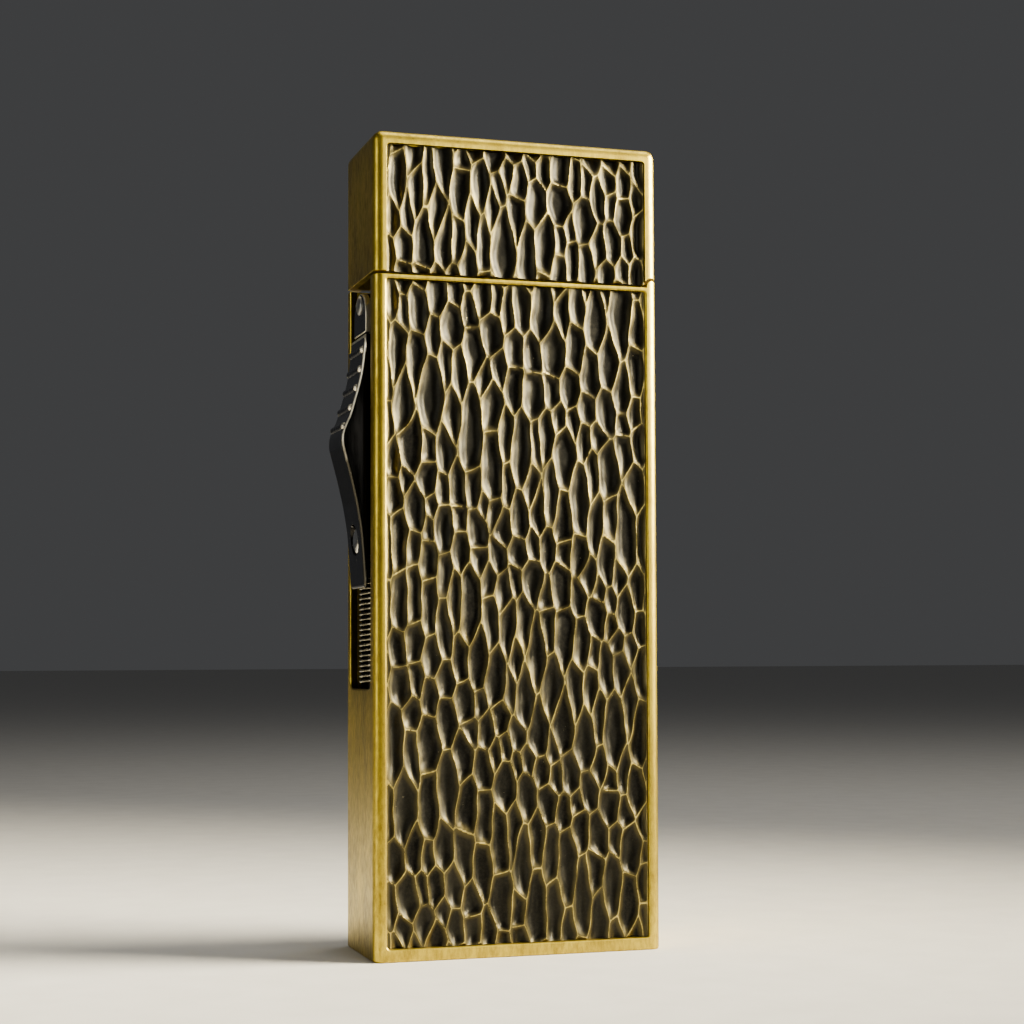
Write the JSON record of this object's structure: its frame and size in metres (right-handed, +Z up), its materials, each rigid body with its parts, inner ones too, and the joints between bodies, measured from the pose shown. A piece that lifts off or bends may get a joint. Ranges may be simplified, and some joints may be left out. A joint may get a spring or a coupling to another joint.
{
  "type": "lighter",
  "caption": "Slim upright pocket lighter with a brass case, hammered inlays, a side thumb lever on a return spring and a side-hinged lid.",
  "frame": {"origin": "centre of the base, on the base plate's outer face", "axes": "+Z up towards the lid, -Y is the front face, -X is the narrow side with the thumb lever"},
  "size_m": [0.03, 0.0116, 0.076],
  "materials": {
    "antique_brass": "tumbled, aged",
    "hammered_brass": "blackened and relieved on the ridges",
    "black_nickel": "black nickel plate, polished",
    "plain_brass": "turned, satin",
    "steel": "satin",
    "spring_steel": "drawn wire",
    "hardened_steel": "hardened, cut teeth",
    "tin_plate": "folded sheet",
    "felt": "pressed felt",
    "cotton": "loose cotton",
    "wick_cord": "braided cotton with wire",
    "ferrocerium": "pressed rod",
    "nitrile": "moulded ring"
  },
  "bodies": {
    "case": {"case_body": "antique_brass", "base_plate": "antique_brass", "front_inlay_body": "hammered_brass", "back_inlay_body": "hammered_brass", "channel_liner": "black_nickel", "deck_plate": "black_nickel", "hinge_pin": "steel", "wheel_axle": "steel", "rocker_pin": "steel", "wind_guard": "steel", "return_spring": "spring_steel", "flint_spring": "spring_steel", "fuel_tank": "tin_plate", "flint_tube": "plain_brass", "wick_ferrule": "plain_brass", "felt_pad": "felt", "cotton_packing": "cotton", "wick": "wick_cord", "flint": "ferrocerium"},
    "slide": {"slide_carriage": "steel", "thumb_lever": "black_nickel", "lever_screw": "steel", "lever_strap": "black_nickel", "strap_rivet": "steel"},
    "lid": {"lid_shell": "antique_brass", "front_inlay_lid": "hammered_brass", "back_inlay_lid": "hammered_brass", "lid_liner": "black_nickel", "lid_hinge_leaf": "antique_brass", "snuffer_cap": "plain_brass", "snuffer_pad": "felt"},
    "wheel": {"striker_wheel": "hardened_steel", "wheel_pinion": "hardened_steel"},
    "rocker": {"lid_rocker": "steel"},
    "flint_screw": {"flint_screw": "plain_brass"},
    "filler": {"filler_screw": "plain_brass", "filler_seal": "nitrile"}
  },
  "joints": [
    {"name": "lever_slide", "type": "slide", "parent": "case", "child": "slide", "axis": [0, 0, -1], "range_m": [0, 0.0055], "stiffness_N_per_m": 400, "springref_m": -0.004, "deforming": ["return_spring"]},
    {"name": "lid_swing", "type": "hinge", "parent": "case", "child": "lid", "pos_m": [0.01335, 0, 0.0628], "axis": [0, 1, 0], "range_deg": [0, 90]},
    {"name": "wheel_spin", "type": "hinge", "parent": "case", "child": "wheel", "pos_m": [-0.0074, 0, 0.0554], "axis": [0, 1, 0], "range_deg": [-197, 0]},
    {"name": "rocker_tilt", "type": "hinge", "parent": "case", "child": "rocker", "pos_m": [0.0044, 0, 0.0575], "axis": [0, 1, 0], "range_deg": [-19.2, 0]},
    {"name": "flint_screw_turn", "type": "hinge", "parent": "case", "child": "flint_screw", "pos_m": [-0.0074, 0, 0.0003], "axis": [0, 0, 1], "continuous": true},
    {"name": "filler_screw_turn", "type": "hinge", "parent": "case", "child": "filler", "pos_m": [0.006, 0, 0.0003], "axis": [0, 0, 1], "continuous": true}
  ],
  "couplings": [
    {"joint": "lid_swing", "follows": "lever_slide", "rad_per_m": 285.6},
    {"joint": "wheel_spin", "follows": "lever_slide", "rad_per_m": -625},
    {"joint": "rocker_tilt", "follows": "lever_slide", "rad_per_m": -60.9}
  ]
}
